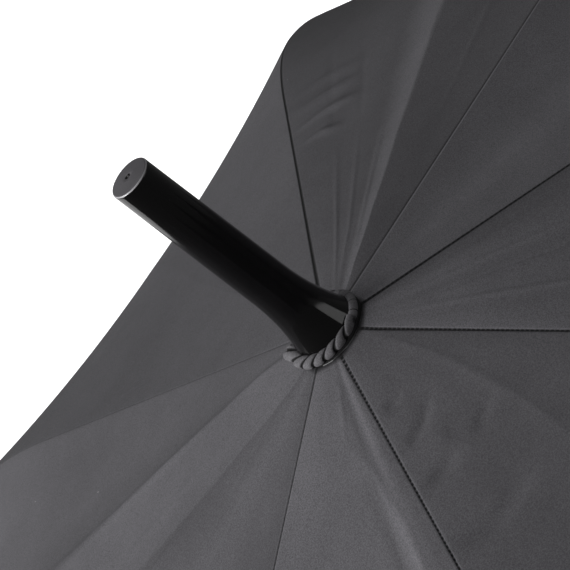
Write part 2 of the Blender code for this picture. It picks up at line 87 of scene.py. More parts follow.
def camera():
    """Looks at the ferrule's foot, which is off centre in the frame."""
    e, a = CAMERA_ELEVATION, CAMERA_AZIMUTH
    out = Vector((math.cos(e) * math.cos(a), math.cos(e) * math.sin(a), math.sin(e)))
    place = Vector((0, 0, FERRULE_Z)) + CAMERA_DISTANCE * out
    right = (-out).cross(Vector((0, 0, 1))).normalized()
    up = right.cross(-out)
    c, s = math.cos(CAMERA_ROLL), math.sin(CAMERA_ROLL)
    rows = Matrix((c * right + s * up, c * up - s * right, out))
    half = FRAME_PIXELS / 2
    aim_x = (AIM_PIXEL[0] - half) / FOCAL_PIXELS
    aim_y = (half - AIM_PIXEL[1]) / FOCAL_PIXELS
    aim = Vector((aim_x, aim_y, -1))
    turn = Vector((0, 0, -1)).rotation_difference(aim.normalized()).to_matrix()
    axes = (turn @ rows).transposed()
    data = bpy.data.cameras.new("camera")
    data.sensor_width = SENSOR_WIDTH
    data.lens = FOCAL_PIXELS * SENSOR_WIDTH / FRAME_PIXELS
    data.clip_start = 0.01
    data.clip_end = 60
    made = link(bpy.data.objects.new("camera", data))
    made.matrix_world = Matrix.Translation(place) @ axes.to_4x4()
    bpy.context.scene.camera = made


def area_light(name, place, target, size, power):
    data = bpy.data.lights.new(name, "AREA")
    data.shape = "DISK"
    data.size = size
    data.energy = power
    made = link(bpy.data.objects.new(name, data))
    made.location = place
    made.rotation_euler = (Vector(target) - Vector(place)).to_track_quat("-Z", "Y").to_euler()
    made.visible_camera = False
    return made


# ---------------------------------------------------------------- materials


class Nodes:
    """Short calls for one material's node tree."""

    def __init__(self, name):
        self.material = bpy.data.materials.new(name)
        self.material.use_nodes = True
        self.tree = self.material.node_tree
        self.shader = self.tree.nodes["Principled BSDF"]

    def add(self, kind, **values):
        node = self.tree.nodes.new("ShaderNode" + kind)
        for key, value in values.items():
            self.feed(node.inputs[key], value)
        return node

    def feed(self, socket, value):
        if isinstance(value, bpy.types.NodeSocket):
            self.tree.links.new(value, socket)
        else:
            socket.default_value = value

    def math(self, operation, a, b=0.0, c=0.0):
        node = self.tree.nodes.new("ShaderNodeMath")
        node.operation = operation
        for socket, value in zip(node.inputs, (a, b, c)):
            self.feed(socket, value)
        return node.outputs[0]

    def ramp(self, value, low, high, to_low=0.0, to_high=1.0):
        node = self.tree.nodes.new("ShaderNodeMapRange")
        node.interpolation_type = "SMOOTHSTEP"
        for socket, given in zip(node.inputs, (value, low, high, to_low, to_high)):
            self.feed(socket, given)
        return node.outputs[0]

    def mix(self, share, a, b, kind="MIX"):
        node = self.tree.nodes.new("ShaderNodeMix")
        node.data_type = "RGBA"
        node.blend_type = kind
        for index, given in ((0, share), (6, a), (7, b)):
            self.feed(node.inputs[index], given)
        return node.outputs[2]

    def noise(self, vector, scale, detail=2.0, rough=0.5):
        node = self.tree.nodes.new("ShaderNodeTexNoise")
        self.feed(node.inputs["Vector"], vector)
        node.inputs["Scale"].default_value = scale
        node.inputs["Detail"].default_value = detail
        node.inputs["Roughness"].default_value = rough
        return node.outputs["Fac"]

    def place(self):
        return self.tree.nodes.new("ShaderNodeTexCoord").outputs["Object"]

    def uv(self, name):
        node = self.tree.nodes.new("ShaderNodeUVMap")
        node.uv_map = name
        return node.outputs[0]

    def attribute(self, name):
        node = self.tree.nodes.new("ShaderNodeAttribute")
        node.attribute_name = name
        return node.outputs["Fac"]

    def grey(self, tone):
        return self.add("CombineColor", Red=tone, Green=tone, Blue=tone).outputs[0]

    def split(self, vector):
        node = self.tree.nodes.new("ShaderNodeSeparateXYZ")
        self.feed(node.inputs[0], vector)
        return node.outputs

    def bump(self, height, distance, strength):
        node = self.tree.nodes.new("ShaderNodeBump")
        self.feed(node.inputs["Height"], height)
        node.inputs["Distance"].default_value = distance
        node.inputs["Strength"].default_value = strength
        return node.outputs[0]

    def finish(self, **sockets):
        for key, value in sockets.items():
            self.feed(self.shader.inputs[key.replace("_", " ")], value)
        return self.material


def rgb(*values):
    return (*values, 1.0)


# Cloth: pitches of the weave and the stitches, half widths of the lines along a seam, and half
# widths and offset of the painted highlight beside it.
WARP_PITCH = 0.42 * MM
WEFT_PITCH = 0.38 * MM
STITCH_PITCH = 2.1 * MM
LINE_FULL, LINE_NONE = 0.22 * MM, 0.50 * MM
EDGE_FULL, EDGE_NONE = 0.10 * MM, 0.45 * MM
EDGE_OFFSET = 1.05 * MM
SPECK_SCALE = 62


def cloth_material(name, base, canopy=True):
    """Fine woven cloth with dust specks and seam lines. The canopy's reads point attributes too,
    which carry painted light and shade and a painted highlight beside each seam.
    """
    n = Nodes(name)
    where = n.place()
    seam = n.split(n.uv("Seam"))
    weave = n.split(n.uv("Weave"))
    warp = n.math("SINE", n.math("MULTIPLY", weave[0], TAU / WARP_PITCH))
    weft = n.math("SINE", n.math("MULTIPLY", weave[1], TAU / WEFT_PITCH))
    cross = n.math("MULTIPLY", warp, weft)
    fine = n.noise(where, 1900, 2, 0.6)
    broad = n.noise(where, 9, 3, 0.55)
    cloudy = n.noise(where, 55, 3, 0.6)
    tone = n.ramp(broad, 0.3, 0.7, 0.93, 1.07)
    tone = n.math("MULTIPLY", tone, n.ramp(cloudy, 0.3, 0.7, 0.965, 1.035))
    tone = n.math("MULTIPLY", tone, n.ramp(fine, 0.25, 0.75, 0.70, 1.30))
    tone = n.math("MULTIPLY", tone, n.math("MULTIPLY_ADD", cross, 0.05, 1.0))
    if canopy:
        # Painted light and shade: this point attribute lightens and darkens the canopy by bearing,
        # partly for the light and shade on the panels and partly for the cloth's own tone, and
        # darkens it as painted shadow under the crown.
        tone = n.math("MULTIPLY", tone, n.attribute("PaintedShadeAndTone"))
    color = n.mix(1.0, rgb(*base), n.grey(tone), "MULTIPLY")
    cells = n.tree.nodes.new("ShaderNodeTexVoronoi")
    n.feed(cells.inputs["Vector"], where)
    cells.inputs["Scale"].default_value = SPECK_SCALE
    chosen = n.math("GREATER_THAN", n.split(cells.outputs["Color"])[0], 0.60)
    dot = n.ramp(cells.outputs["Distance"], 0.008, 0.022, 1.0, 0.0)
    speck = n.math("MULTIPLY", chosen, dot)
    color = n.mix(n.math("MULTIPLY", speck, 0.75), color, rgb(0.55, 0.55, 0.56))
    height = n.math("MULTIPLY_ADD", fine, 1.2, cross)
    distance = n.math("ABSOLUTE", seam[0])
    line = n.ramp(distance, LINE_FULL, LINE_NONE, 1.0, 0.0)
    if canopy:
        stitch = n.math("SINE", n.math("MULTIPLY", seam[1], TAU / STITCH_PITCH))
        gap = n.ramp(stitch, -0.9, 0.2, n.attribute("Stitch"), 1.0)
        dark = n.math("MULTIPLY", n.math("MULTIPLY", line, gap), n.attribute("Line"))
        # Painted highlight: a thin pale line beside the seam, for the light that its turned edge
        # catches.
        beside = n.math("ABSOLUTE", n.math("ADD", seam[0], EDGE_OFFSET))
        edge = n.ramp(beside, EDGE_FULL, EDGE_NONE, 1.0, 0.0)
        edge_glint = n.math("MULTIPLY", edge, n.attribute("EdgeGlint"))
        color = n.mix(n.math("MULTIPLY", edge_glint, 0.7), color, rgb(0.11, 0.108, 0.115))
    else:
        dark = line
    # The dark line: seams and stitching on the canopy and strap, and painted shade in the rosette's
    # pleat gaps, under the rosette and along the crown patch's edge.
    color = n.mix(n.math("MULTIPLY", dark, 0.95), color, rgb(0.003, 0.003, 0.003))
    normal = n.bump(height, 0.00006, 0.5)
    return n.finish(
        Base_Color=color,
        Roughness=0.85,
        Normal=normal,
        Sheen_Weight=0.015,
        Sheen_Roughness=0.5,
        Specular_IOR_Level=0.06,
    )


def gloss_black():
    """Polished black plastic with faint wear."""
    n = Nodes("gloss_black")
    where = n.place()
    wear = n.noise(where, 900, 3, 0.7)
    scratch = n.ramp(wear, 0.62, 0.75, 0.0, 1.0)
    rough = n.math("MULTIPLY_ADD", scratch, 0.1, 0.10)
    height = n.noise(where, 900, 2, 0.5)
    patches = n.ramp(n.noise(where, 60, 3), 0.35, 0.7)
    color = n.mix(patches, rgb(0.0006, 0.0005, 0.0006), rgb(0.0012, 0.0011, 0.0012))
    normal = n.bump(height, 0.00001, 0.2)
    return n.finish(Base_Color=color, Roughness=rough, Normal=normal, Specular_IOR_Level=0.36)


def satin(name, base, rough, metallic=0.0, grain=700, spread=0.25, bump=0.00004):
    """Moulded plastic, painted or bare metal: one base colour with grain, smudges and fine wear."""
    n = Nodes(name)
    where = n.place()
    fine = n.noise(where, grain, 3, 0.6)
    broad = n.noise(where, 30, 3, 0.6)
    smudges = n.ramp(broad, 0.3, 0.7, 1 - spread / 2, 1 + spread / 2)
    tone = n.math("MULTIPLY", smudges, n.ramp(fine, 0.3, 0.7, 0.94, 1.06))
    color = n.mix(1.0, rgb(*base), n.grey(tone), "MULTIPLY")
    roughness = n.ramp(n.math("ADD", fine, broad), 0.7, 1.3, rough * 0.8, rough * 1.25)
    normal = n.bump(fine, bump, 0.4)
    return n.finish(Base_Color=color, Roughness=roughness, Metallic=metallic, Normal=normal)


# ---------------------------------------------------------------- canopy


def rib_trace(along):
    """Distance out from the pivot, height over it and slope, of points along a rib."""
    along = np.asarray(along, float)
    slope = np.full_like(along, SLOPE_TOP)
    out, rise = np.zeros_like(along), np.zeros_like(along)
    start = 0.0
    for end, bend in RIB_PIECES:
        length = np.clip(np.minimum(along, end) - start, 0, None)
        turned = slope + bend * length
        if bend:
            out = out + (np.sin(turned) - np.sin(slope)) / bend
            rise = rise + (np.cos(turned) - np.cos(slope)) / bend
        else:
            out = out + length * np.cos(slope)
            rise = rise - length * np.sin(slope)
        slope = turned
        start = end
    return out, rise, slope


def smooth(x, low, high):
    """0 at low to 1 at high, with soft ends."""
    t = np.clip((x - low) / (high - low), 0, 1)
    return t * t * (3 - 2 * t)


# The cloth's sag between ribs, as a share of the panel's width.
SAG = 0.030

# Soft folds from the crown outwards: panel, height as a share of the panel's width, and the fold's
# line as (distance along, share across).
FOLDS = (
    (
        4,
        0.062,
        ((0.010, 0.22), (0.022, 0.27), (0.060, 0.36), (0.118, 0.42), (0.250, 0.45), (0.750, 0.50)),
    ),
    (6, 0.062, ((0.010, 0.30), (0.024, 0.38), (0.058, 0.48), (0.188, 0.54), (0.750, 0.52))),
    (1, 0.012, ((0.010, 0.86), (0.060, 0.74), (0.118, 0.60), (0.300, 0.50), (0.750, 0.45))),
    (2, 0.020, ((0.010, 0.45), (0.096, 0.52), (0.750, 0.50))),
    (3, 0.004, ((0.010, 0.40), (0.750, 0.50))),
    (5, 0.014, ((0.010, 0.50), (0.750, 0.50))),
    (7, 0.012, ((0.010, 0.45), (0.096, 0.42), (0.750, 0.48))),
    (
        8,
        0.022,
        ((0.010, 0.60), (0.042, 0.63), (0.060, 0.80), (0.106, 0.87), (0.300, 0.75), (0.750, 0.60)),
    ),
)

# Small creases: panel, height and width in mm, and the line as (share across, distance along).
CREASES = (
    (4, 1.27, 4.2, ((0.985, 0.219), (0.86, 0.219), (0.735, 0.213))),
    (4, 1.27, 4.2, ((0.965, 0.197), (0.85, 0.199), (0.735, 0.193))),
    (4, 0.90, 4.0, ((0.985, 0.240), (0.86, 0.240), (0.745, 0.232))),
    (4, 0.90, 3.6, ((0.955, 0.178), (0.88, 0.178), (0.80, 0.170))),
    (4, -0.30, 1.6, ((0.85, 0.285), (0.84, 0.230), (0.83, 0.170))),
    (4, -0.27, 1.6, ((0.74, 0.256), (0.72, 0.205), (0.70, 0.164))),
    (4, 0.30, 1.3, ((0.60, 0.014), (0.72, 0.050), (0.78, 0.095), (0.81, 0.150))),
    (4, 0.28, 1.4, ((0.50, 0.016), (0.60, 0.060), (0.66, 0.100), (0.70, 0.150))),
    (4, 0.25, 1.6, ((0.36, 0.030), (0.50, 0.080), (0.56, 0.150))),
    (4, 0.30, 2.0, ((0.20, 0.120), (0.24, 0.190), (0.26, 0.280))),
    (1, -0.81, 4.0, ((0.10, 0.040), (0.24, 0.042), (0.36, 0.041))),
    (1, -1.08, 4.6, ((0.10, 0.061), (0.28, 0.060), (0.42, 0.057))),
    (1, -1.17, 4.6, ((0.06, 0.080), (0.18, 0.082), (0.30, 0.084))),
    (1, -1.44, 6.0, ((0.05, 0.110), (0.22, 0.116), (0.40, 0.118))),
    (1, 0.36, 5.0, ((0.22, 0.070), (0.34, 0.075))),
    (1, -0.63, 5.0, ((0.42, 0.085), (0.60, 0.082))),
    (1, 0.20, 3.0, ((0.85, 0.012), (0.75, 0.050), (0.66, 0.090), (0.60, 0.130))),
    (8, 0.25, 1.6, ((0.60, 0.012), (0.69, 0.018), (0.66, 0.030), (0.63, 0.042))),
    (8, 0.30, 2.6, ((0.70, 0.030), (0.80, 0.060), (0.87, 0.092), (0.88, 0.130))),
    (8, -0.30, 3.0, ((0.70, 0.060), (0.78, 0.092), (0.80, 0.130))),
    (8, -0.17, 2.4, ((0.30, 0.020), (0.36, 0.042))),
    (7, 0.30, 1.8, ((0.40, 0.020), (0.41, 0.040), (0.42, 0.096), (0.43, 0.160))),
    (7, 0.25, 1.6, ((0.20, 0.020), (0.26, 0.050), (0.30, 0.110))),
    (6, 0.60, 2.6, ((0.36, 0.020), (0.47, 0.058), (0.53, 0.188), (0.53, 0.300))),
    (6, 0.25, 3.0, ((0.72, 0.040), (0.78, 0.120), (0.80, 0.200))),
    (5, 0.35, 1.4, ((0.97, 0.174), (0.93, 0.166), (0.89, 0.158))),
    (5, 0.35, 1.4, ((0.94, 0.186), (0.90, 0.176), (0.87, 0.168))),
    (5, 0.25, 1.4, ((0.86, 0.215), (0.84, 0.205))),
    (2, -0.21, 1.2, ((0.45, 0.036), (0.49, 0.060), (0.51, 0.096), (0.52, 0.170))),
    (2, 0.21, 1.6, ((0.30, 0.012), (0.31, 0.036), (0.29, 0.096), (0.28, 0.200))),
    (2, 0.24, 1.8, ((0.60, 0.014), (0.64, 0.050), (0.66, 0.110))),
    (2, -0.32, 2.2, ((0.80, 0.016), (0.88, 0.060), (0.91, 0.130))),
    (3, 0.14, 1.6, ((0.24, 0.012), (0.32, 0.040), (0.36, 0.090), (0.38, 0.160))),
)

# The ribs' bearings, but for rib 7's, whose place the guide line at 270 degrees takes.
RIB_BEARINGS = [45.0 * k for k in range(9) if k != 6]

# Other lines that the cloth's tone follows: (bearing at rest, ((distance along, bearing), ...)).
GUIDES = (
    (154, ((0.010, 145), (0.022, 147), (0.060, 151), (0.118, 154), (0.250, 155), (0.750, 157))),
    (248, ((0.010, 238), (0.024, 242), (0.058, 246.5), (0.188, 249.5), (0.750, 249))),
    (270, ((0.010, 286), (0.020, 281), (0.044, 273), (0.120, 266.5), (0.200, 265.5), (0.750, 270))),
)

# Share of the cloth's base tone by bearing, tuned until each panel's average grey was that of the
# photo. Part of it is the light and shade of the photo's own studio, not the cloth's colour.
TONES = (
    (0.0, 1.08), (8, 1.00), (15, 0.90), (22, 0.92), (30, 0.86), (38, 0.87),
    (44.9, 0.75), (45.1, 1.32), (54, 1.10), (60, 1.12), (68, 1.06), (76, 1.22),
    (83, 1.00), (89.9, 0.82), (90.1, 1.15), (93, 1.28), (98, 1.33), (105, 1.38),
    (112, 1.45), (120, 1.20), (128, 1.02), (134.9, 0.95), (135.1, 0.76), (145, 0.78),
    (153.8, 0.88), (154.3, 1.25), (156.5, 1.18), (161, 0.74), (166, 0.84), (172, 0.84),
    (179.9, 1.00), (180.1, 0.88), (190, 0.90), (217, 0.92), (224.9, 0.96), (225.1, 1.02),
    (234, 1.09), (240, 1.10), (245, 1.00), (247.5, 0.94), (249, 1.22), (262, 1.22),
    (269.4, 1.14), (270.2, 0.90), (276, 0.97), (282, 1.01), (288, 1.09), (294, 1.04),
    (300, 0.95), (306, 0.91), (314.9, 0.79), (315.1, 1.28), (322, 1.28), (328, 1.20),
    (334, 1.08), (346, 1.08), (350, 0.94), (354, 1.55), (357.5, 0.98), (360.0, 0.95),
)

# Each seam's line by rib: width, darkness, how strongly the painted highlight on its turned edge
# shows, and how closed its stitches are. The darkness is set seam by seam as the light falls on
# each, so it is partly painted shade.
SEAMS = {
    1: (1.15, 1.0, 0.0, 0.35),
    2: (1.25, 1.0, 0.0, 0.75),
    3: (1.7, 1.0, 0.0, 0.85),
    4: (0.9, 0.7, 1.0, 0.85),
    5: (2.1, 1.0, 0.0, 0.85),
    6: (0.7, 0.40, 0.0, 0.8),
    7: (0.6, 0.12, 0.0, 0.8),
    8: (0.8, 0.80, 0.35, 0.8),
}


def chord(radius):
    """The straight width of a panel between its two ribs."""
    return radius * math.sin(STEP) / math.cos(STEP / 2)


def fold_height(panel, u, along):
    """Ridges of the soft folds, as a share of the panel's width. They fade out towards the hem."""
    total = np.zeros_like(u)
    for which, share, line in FOLDS:
        if which == panel:
            crest = np.interp(along, [p[0] for p in line], [p[1] for p in line])
            total = total + share * np.where(u < crest, u / crest, (1 - u) / (1 - crest))
    return total * smooth(along, 0.003, 0.03) * (1 - 0.88 * smooth(along, 0.18, 0.42))


def crease_height(panel, u, along, width):
    """Gaussian ridges along short lines, in metres."""
    total = np.zeros_like(u)
    x = u * width
    for which, tall, wide, line in CREASES:
        if which != panel:
            continue
        spread = wide * MM / 2
        best = np.full_like(u, 1e9)
        fade = np.zeros_like(u)
        lengths = [0.0]
        spots = []
        for share, distance in line:
            out = rib_trace([distance])[0][0]
            spots.append((share * (PIVOT_R + out) * math.sin(STEP) / math.cos(STEP / 2), distance))
        for p, q in zip(spots, spots[1:]):
            lengths.append(lengths[-1] + math.dist(p, q))
        for index, (p, q) in enumerate(zip(spots, spots[1:])):
            dx, dy = q[0] - p[0], q[1] - p[1]
            t = np.clip(((x - p[0]) * dx + (along - p[1]) * dy) / (dx * dx + dy * dy), 0, 1)
            gap = np.hypot(x - p[0] - t * dx, along - p[1] - t * dy)
            share = (lengths[index] + t * math.hypot(dx, dy)) / lengths[-1]
            fade = np.where(gap < best, np.sin(np.pi * (0.08 + 0.84 * share)), fade)
            best = np.minimum(best, gap)
        total = total + tall * MM * np.exp(-((best / spread) ** 2) / 2) * fade
    return total


def tone_at(bearing, along):
    """The shading's share at a bearing, 0 to 360 degrees, with the guide lines pulled straight."""
    rest = np.array([g[0] for g in GUIDES] + RIB_BEARINGS)
    lines = [np.interp(along, [p[0] for p in g[1]], [p[1] for p in g[1]]) for g in GUIDES]
    lines += [np.full_like(along, bearing_of_rib) for bearing_of_rib in RIB_BEARINGS]
    order = np.argsort(rest)
    rest = rest[order]
    lines = [lines[i] for i in order]
    at = np.zeros_like(along)
    for i in range(len(rest) - 1):
        inside = (bearing >= lines[i]) & (bearing <= lines[i + 1])
        t = (bearing - lines[i]) / np.maximum(lines[i + 1] - lines[i], 1e-6)
        at = np.where(inside, rest[i] + t * (rest[i + 1] - rest[i]), at)
    return np.interp(at, [t[0] for t in TONES], [t[1] for t in TONES])


def relief(panel, u, along, width):
    """How far the cloth stands off the straight chord between its ribs."""
    sag = -SAG * width * 4 * u * (1 - u) * smooth(along, 0.0, 0.15)
    sag = sag * (1 + 0.5 * smooth(along, 0.2, 0.42))
    return sag + width * fold_height(panel, u, along) + crease_height(panel, u, along, width)


# Each cloth's grid, close-set near the crown and beside the seam, and the seam's groove.
ROWS_NEAR, ROWS_FAR, NEAR_END = 150, 150, 0.20
COLUMNS = 44
GROOVE = 0.35 * MM
GROOVE_WIDTH = 0.45 * MM
SEAM_STEPS = np.array([0, 0.25, 0.5, 0.8, 1.2, 1.8, 2.8, 4.4, 7.0]) * MM


def cloth_points(rib, across, along, over=0.0):
    """Points of the cloth, their panel's width and tone, at shares across and distances along.

    across runs from -1 to 1, from one panel's middle to the next one's, with the rib at 0.
    """
    share = np.abs(across)
    out, rise, slope = rib_trace(along)
    radius = PIVOT_R + out
    width = chord(radius)
    u_right, u_left = np.clip(across / 2, 0, 1), np.clip(1 + across / 2, 0, 1)
    panel_left = (rib - 2) % RIBS + 1
    right = relief(rib, u_right, along, width)
    left = relief(panel_left, u_left, along, width)
    height = np.where(across >= 0, right, left)
    groove = GROOVE * SEAMS[rib][1] * np.exp(-((share * width / 2 / GROOVE_WIDTH) ** 2))
    height = height - groove * smooth(along, 0.004, 0.012) + CLOTH_LIFT + over
    x = out - radius * share * (1 - math.cos(STEP)) / 2
    y = radius * across * math.sin(STEP) / 2
    # The panel's own up direction leans towards its middle.
    lean = np.sign(across) * smooth(share, 0.0, 0.05) * STEP / 2
    nx, nz = np.sin(slope), np.cos(slope)
    x = x + height * nx * np.cos(lean)
    y = y + height * nx * np.sin(lean)
    z = rise + height * nz
    bearing = (rib - 1) * STEP
    px = (PIVOT_R + x) * math.cos(bearing) - y * math.sin(bearing)
    py = (PIVOT_R + x) * math.sin(bearing) + y * math.cos(bearing)
    tone_right = tone_at((rib - 1 + u_right) * 45, along)
    tone_left = tone_at((panel_left - 1 + u_left) * 45, along)
    # Painted shadow: the cloth darkens close to the crown, standing in for the shade under the
    # crown patch and rosette.
    crown_painted_shade = 0.08 + 0.92 * smooth(along, 0.0035, 0.0062)
    tone = np.where(across > 0, tone_right, tone_left) * crown_painted_shade
    return np.stack([px, py, PIVOT_Z + z], -1), width, tone


def sheet_mesh(name, points, uvs, values, finish):
    """A grid of points as a smooth single-layer mesh with UV layers and named values."""
    count, wide = points.shape[:2]
    index = np.arange(count * wide).reshape(count, wide)
    corners = [index[:-1, :-1], index[1:, :-1], index[1:, 1:], index[:-1, 1:]]
    faces = np.stack(corners, -1).reshape(-1, 4)
    mesh = bpy.data.meshes.new(name)
    mesh.from_pydata(points.reshape(-1, 3).tolist(), [], faces.tolist())
    loops = faces.reshape(-1)
    for layer, (u, v) in uvs.items():
        made = mesh.uv_layers.new(name=layer)
        flat = np.stack([u.reshape(-1)[loops], v.reshape(-1)[loops]], -1)
        made.data.foreach_set("uv", flat.reshape(-1).astype(np.float32))
    for key, given in values.items():
        made = mesh.attributes.new(key, "FLOAT", "POINT")
        spread = np.broadcast_to(given, (count, wide)).reshape(-1)
        made.data.foreach_set("value", spread.astype(np.float32))
    mesh.shade_smooth()
    mesh.materials.append(finish)
    return link(bpy.data.objects.new(name, mesh))


def cloth_sheet(rib, cloth):
    """The cloth from panel middle to panel middle, with the seam down its centre line."""
    start, end = 0.002, RIB_LENGTH - 0.010
    near = np.linspace(start, NEAR_END, ROWS_NEAR, endpoint=False)
    rows = []
    for first in np.concatenate([near, np.linspace(NEAR_END, end, ROWS_FAR)]):
        half = (PIVOT_R + rib_trace(first)[0]) * math.sin(STEP) / 2
        edge = np.minimum(SEAM_STEPS, half * np.arange(len(SEAM_STEPS)) / COLUMNS)
        left = COLUMNS - len(SEAM_STEPS) + 1
        rest = edge[-1] + (half - edge[-1]) * np.arange(1, left + 1) / left
        side = np.concatenate([edge, rest]) / half
        across = np.concatenate([-side[:0:-1], side])
        frac = (first - start) / (end - start)
        rows.append((across, start + frac * (end - HEM_DIP * across**2 - start)))
    across = np.array([r[0] for r in rows])
    along = np.array([r[1] for r in rows])
    points, width, tone = cloth_points(rib, across, along)
    wide, dark, edge_glint, closed = SEAMS[rib]
    uvs = {
        "Seam": (across * width / 2 / wide, along),
        "Weave": ((1 - np.abs(across)) * width / 2 * np.sign(across + 1e-9), along),
    }
    values = {"PaintedShadeAndTone": tone, "Line": dark, "EdgeGlint": edge_glint, "Stitch": closed}
    return sheet_mesh(f"cloth_{rib}", points, uvs, values, cloth)


# ---------------------------------------------------------------- ferrule and rosette


def revolve(name, profile, segments, finish, z=0.0):
    """A surface of revolution from a list of (radius, z), which may start and end on the axis."""
    bm = bmesh.new()
    rings = []
    for radius, height in profile:
        if radius == 0:
            rings.append([bm.verts.new((0, 0, height + z))])
        else:
            turns = [TAU * i / segments for i in range(segments)]
            places = [(radius * math.cos(t), radius * math.sin(t), height + z) for t in turns]
            rings.append([bm.verts.new(place) for place in places])
    for low, high in zip(rings, rings[1:]):
        for i in range(segments):
            j = (i + 1) % segments
            corners = []
            ends = (low[i % len(low)], low[j % len(low)], high[j % len(high)], high[i % len(high)])
            for corner in ends:
                if corner not in corners:
                    corners.append(corner)
            if len(corners) > 2:
                bm.faces.new(corners)
    bmesh.ops.recalc_face_normals(bm, faces=bm.faces)
    mesh = bpy.data.meshes.new(name)
    bm.to_mesh(mesh)
    bm.free()
    mesh.shade_smooth()
    mesh.set_sharp_from_angle(angle=math.radians(50))
    mesh.materials.append(finish)
    return link(bpy.data.objects.new(name, mesh))


def ferrule(finish, face, rim):
    """The long cap, in mm: flared foot, tapered body, rounded rim, domed face with a dimple."""
    top = 101.4
    foot = 13.9
    neck = 9.2
    flare = 32
    tip_radius = 8.75
    edge = 0.9
    profile = [(6.8, 0.0), (foot, 0.0)]
    for i in range(1, 41):
        t = i / 40
        profile.append((neck + (foot - neck) * (1 - t) ** 2.3, flare * t))
    for i in range(1, 9):
        t = i / 8
        profile.append((neck - 0.45 * t, flare + (top - 2.2 - flare) * t))
    for i in range(0, 9):
        a = math.radians(90 * i / 8)
        radius = tip_radius - edge + edge * math.cos(a)
        profile.append((radius, top - 0.6 - edge + edge * math.sin(a)))
    profile += [(5.5, top - 0.42), (3, top - 0.2), (1.25, top - 0.12)]
    profile += [(1.0, top - 0.3), (0.6, top - 0.7), (0, top - 0.8)]
    outline = [(r * MM, z * MM) for r, z in profile]
    made = revolve("ferrule_gloss", outline, 128, finish, FERRULE_Z)
    made.data.materials.append(face)
    made.data.materials.append(rim)
    for polygon in made.data.polygons:
        if polygon.center.z > FERRULE_Z + (top - 1.6) * MM and polygon.normal.z > 0.35:
            outer = polygon.center.xy.length
            on_rim = outer > 6 * MM and polygon.normal.z < 0.88
            polygon.material_index = 2 if on_rim else int(outer > 1.2 * MM)
    return made


def cloth_uv(mesh, seam):
    """UV layers for cloth: seam(co) gives the signed distance to the nearest dark line."""
    for layer in ("Seam", "Weave"):
        uv = mesh.uv_layers.new(name=layer)
        for loop in mesh.loops:
            co = mesh.vertices[loop.vertex_index].co
            first = seam(loop.vertex_index) if layer == "Seam" else math.hypot(co.x, co.y)
            uv.data[loop.index].uv = (first, math.atan2(co.y, co.x) * 0.014)


def rosette(finish):
    """A gathered ring of cloth: leaf-like pleats that lean round the ferrule's foot, with painted
    shade in the gaps between them and under the ring.
    """
    pleats, over = 17, 24
    around = pleats * 18
    pitch = TAU * 14.4 * MM / pleats
    bm = bmesh.new()
    rings, gap_shade = [], []
    for i in range(around):
        turn = TAU * i / around
        bearing = math.degrees(turn)
        lean = 0.80 - 0.80 * float(smooth(bearing, 42, 66) - smooth(bearing, 130, 150))
        slanted = lean > 0.3
        ring = []
        for j in range(over):
            angle = TAU * j / over
            outward = (1 + math.cos(angle)) / 2
            phase = pleats * turn / TAU + lean * outward + 0.12 * math.sin(3 * turn + 1)
            offset = phase - round(phase)
            gap = 1 - math.exp(-((offset / 0.12) ** 2))
            swell = 0.90 + 0.10 * math.sin(math.pi * (phase % 1)) + 0.03 * math.sin(7 * turn)
            reach = swell * (0.66 + 0.34 * gap) if slanted else 0.92 + 0.05 * gap
            loose = math.cos(turn - math.radians(272))
            # The far side is tucked in behind the ferrule, and one pleat stands open at its end.
            hidden = float(smooth(bearing, 186, 200) - smooth(bearing, 248, 255))
            opened = math.exp(-(((bearing - 263) / 6.0) ** 2))
            reach *= 1 - 0.6 * hidden + 0.32 * opened
            middle = 15.1 + 0.4 * loose + 0.9 * opened - 0.8 * hidden
            radius = middle + (2.3 + 0.6 * loose) * reach * math.cos(angle)
            tall = 2.15 if slanted else 1.35
            height = 0.6 * opened - 0.35 + tall * reach * math.sin(angle) - 0.35 * math.cos(angle)
            x, y = radius * math.cos(turn) * MM, radius * math.sin(turn) * MM
            ring.append(bm.verts.new((x, y, height * MM + FERRULE_Z)))
            # Painted shade: the gaps between pleats take the cloth's dark line, and the ring's
            # underside is all dark line, for the shade in the gaps and under the ring.
            narrow = 0.52 if slanted else 1.8
            under = 1 if math.sin(angle) > -0.45 else 0
            gap_shade.append(abs(offset) * pitch * narrow * under)
        rings.append(ring)
    for ring, other in zip(rings, rings[1:] + rings[:1]):
        for j in range(over):
            k = (j + 1) % over
            bm.faces.new((ring[j], ring[k], other[k], other[j]))
    bmesh.ops.recalc_face_normals(bm, faces=bm.faces)
    mesh = bpy.data.meshes.new("rosette_pleats")
    bm.to_mesh(mesh)
    bm.free()
    mesh.shade_smooth()
    mesh.materials.append(finish)
    cloth_uv(mesh, lambda index: gap_shade[index])
    return link(bpy.data.objects.new("rosette_pleats", mesh))


def crown(finish):
    """The round patch between the rosette and the canopy; its edge is painted dark for the shade
    under the rosette.
    """
    profile = [(6.3, -1.9), (11, -1.9), (15.2, -2.1), (15.9, -2.5), (16.2, -3.3)]
    made = revolve("crown_patch", [(r * MM, z * MM) for r, z in profile], 96, finish, FERRULE_Z)

    def seam(index):
        """Painted shade: the patch's edge is all dark line, for the shadow under the rosette, and
        its middle has none.
        """
        return 0.0 if made.data.vertices[index].co.xy.length > 13 * MM else 0.01

    cloth_uv(made.data, seam)
    return made


# ---------------------------------------------------------------- strap and grip


